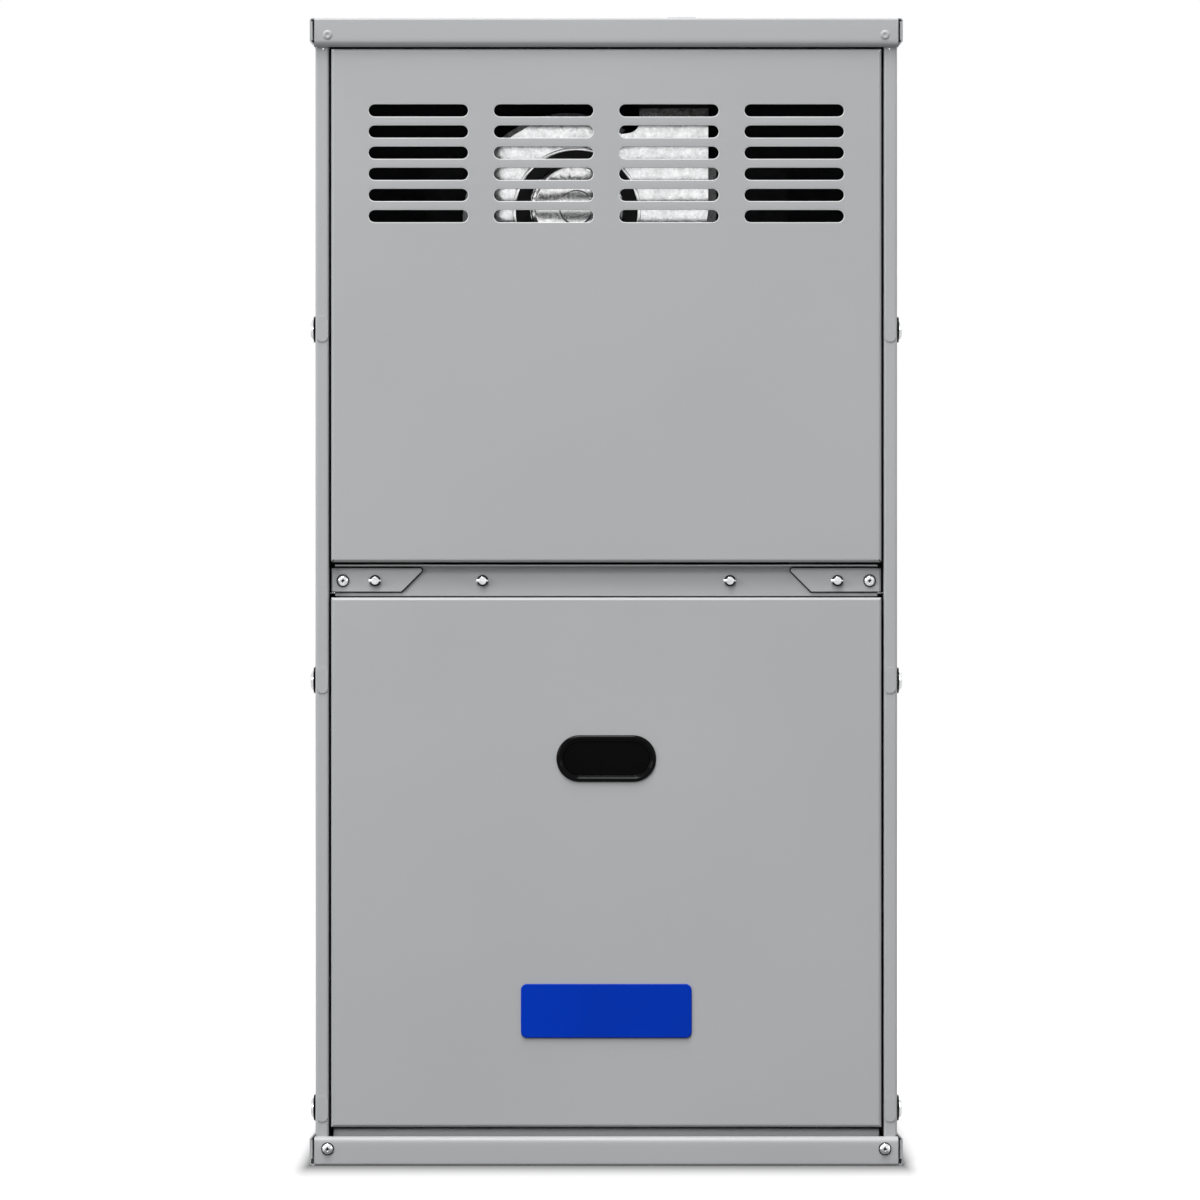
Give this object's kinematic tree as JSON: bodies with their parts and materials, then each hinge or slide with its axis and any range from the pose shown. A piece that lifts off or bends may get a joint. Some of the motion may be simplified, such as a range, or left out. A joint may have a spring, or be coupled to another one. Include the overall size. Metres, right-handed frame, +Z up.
{
  "type": "forced air gas furnace",
  "caption": "Upflow forced air gas furnace: tall sheet metal cabinet with louvred burner door, blower door, tubular heat exchanger, draft inducer and blower inside.",
  "frame": {"origin": "centre of the footprint, on the floor", "axes": "+Z up, -Y out of the front with the doors, +X to the right as seen from the front"},
  "size_m": [0.453, 0.7248, 0.8803],
  "materials": {
    "casing_paint": "satin grey coil coat",
    "zinc_steel": "zinc plated",
    "galvanised": "galvanised sheet",
    "tube_steel": "aluminised steel",
    "dark_steel": "dark matt",
    "black_plastic": "satin",
    "smoked_lens": "gloss, smoked",
    "blue_enamel": "gloss",
    "cast_alloy": "cast",
    "motor_paint": "black paint",
    "brass": "turned brass",
    "ceramic": "matt",
    "white_plastic": "satin",
    "red_plastic": "gloss",
    "board_green": "solder mask",
    "rubber": "matt",
    "foil_wool": "foil faced",
    "liner_foam": "matt foam"
  },
  "bodies": {
    "casing": {"left_side_panel": "casing_paint", "right_side_panel": "casing_paint", "back_panel": "casing_paint", "top_cap": "casing_paint", "base_frame": "casing_paint", "door_sill": "casing_paint", "crossbar": "casing_paint", "end_brackets": "casing_paint", "bar_gaskets": "rubber", "blower_deck": "galvanised", "vest_panel": "dark_steel", "insulation_liner": "foil_wool", "pan_screws": "zinc_steel", "crossbar_studs": "zinc_steel", "crossbar_washers": "rubber", "cap_rivets": "casing_paint", "side_plugs": "zinc_steel", "heat_tube_1": "tube_steel", "heat_tube_2": "tube_steel", "heat_tube_3": "tube_steel", "heat_tube_4": "tube_steel", "tube_support": "galvanised", "collector_box": "dark_steel", "burner_1": "tube_steel", "burner_2": "tube_steel", "burner_3": "tube_steel", "burner_4": "tube_steel", "burner_rack": "galvanised", "gas_manifold": "dark_steel", "gas_orifices": "brass", "gas_valve": "cast_alloy", "igniter": "ceramic", "flame_sensor": "ceramic", "thermal_switches": "zinc_steel", "pressure_switch": "black_plastic", "pressure_hose": "rubber", "inducer_housing": "galvanised", "inducer_plate": "dark_steel", "inducer_motor": "motor_paint", "vent_adaptor": "dark_steel", "blower_sides": "galvanised", "blower_wrap": "galvanised", "blower_motor": "motor_paint", "motor_mount": "zinc_steel", "run_capacitor": "cast_alloy", "control_bracket": "galvanised", "control_board": "board_green", "transformer": "dark_steel", "door_switch": "white_plastic"},
    "upper_door_body": {"upper_door": "casing_paint"},
    "lower_door_body": {"lower_door": "casing_paint", "door_liner": "liner_foam", "sight_bezel": "black_plastic", "sight_lens": "smoked_lens", "badge_plate": "blue_enamel"},
    "plunger_body": {"switch_plunger": "black_plastic"},
    "blower_rotor": {"blower_wheel": "galvanised"},
    "inducer_rotor": {"inducer_wheel": "zinc_steel"},
    "knob_body": {"valve_knob": "white_plastic"},
    "button_body": {"reset_button": "red_plastic"}
  },
  "joints": [
    {"name": "upper_door_off", "type": "slide", "parent": "casing", "child": "upper_door_body", "axis": [0, -1, 0], "range_m": [0, 0.15]},
    {"name": "lower_door_off", "type": "slide", "parent": "casing", "child": "lower_door_body", "axis": [0, -1, 0], "range_m": [0, 0.16]},
    {"name": "plunger_slide", "type": "slide", "parent": "casing", "child": "plunger_body", "axis": [0, -1, 0], "range_m": [0, 0.006]},
    {"name": "blower_spin", "type": "hinge", "parent": "casing", "child": "blower_rotor", "pos_m": [0, 0.11, 0.2156], "axis": [1, 0, 0], "continuous": true},
    {"name": "inducer_spin", "type": "hinge", "parent": "casing", "child": "inducer_rotor", "pos_m": [-0.023, -0.2, 0.7358], "axis": [0, -1, 0], "continuous": true},
    {"name": "valve_knob_turn", "type": "hinge", "parent": "casing", "child": "knob_body", "pos_m": [0.048, -0.33, 0.5588], "axis": [0, 1, 0], "range_deg": [0, 90]},
    {"name": "reset_press", "type": "slide", "parent": "casing", "child": "button_body", "axis": [0, 1, 0], "range_m": [0, 0.0015], "stiffness_N_per_m": 300}
  ],
  "couplings": [
    {"joint": "plunger_slide", "follows": "lower_door_off", "ratio": 0.0375}
  ]
}
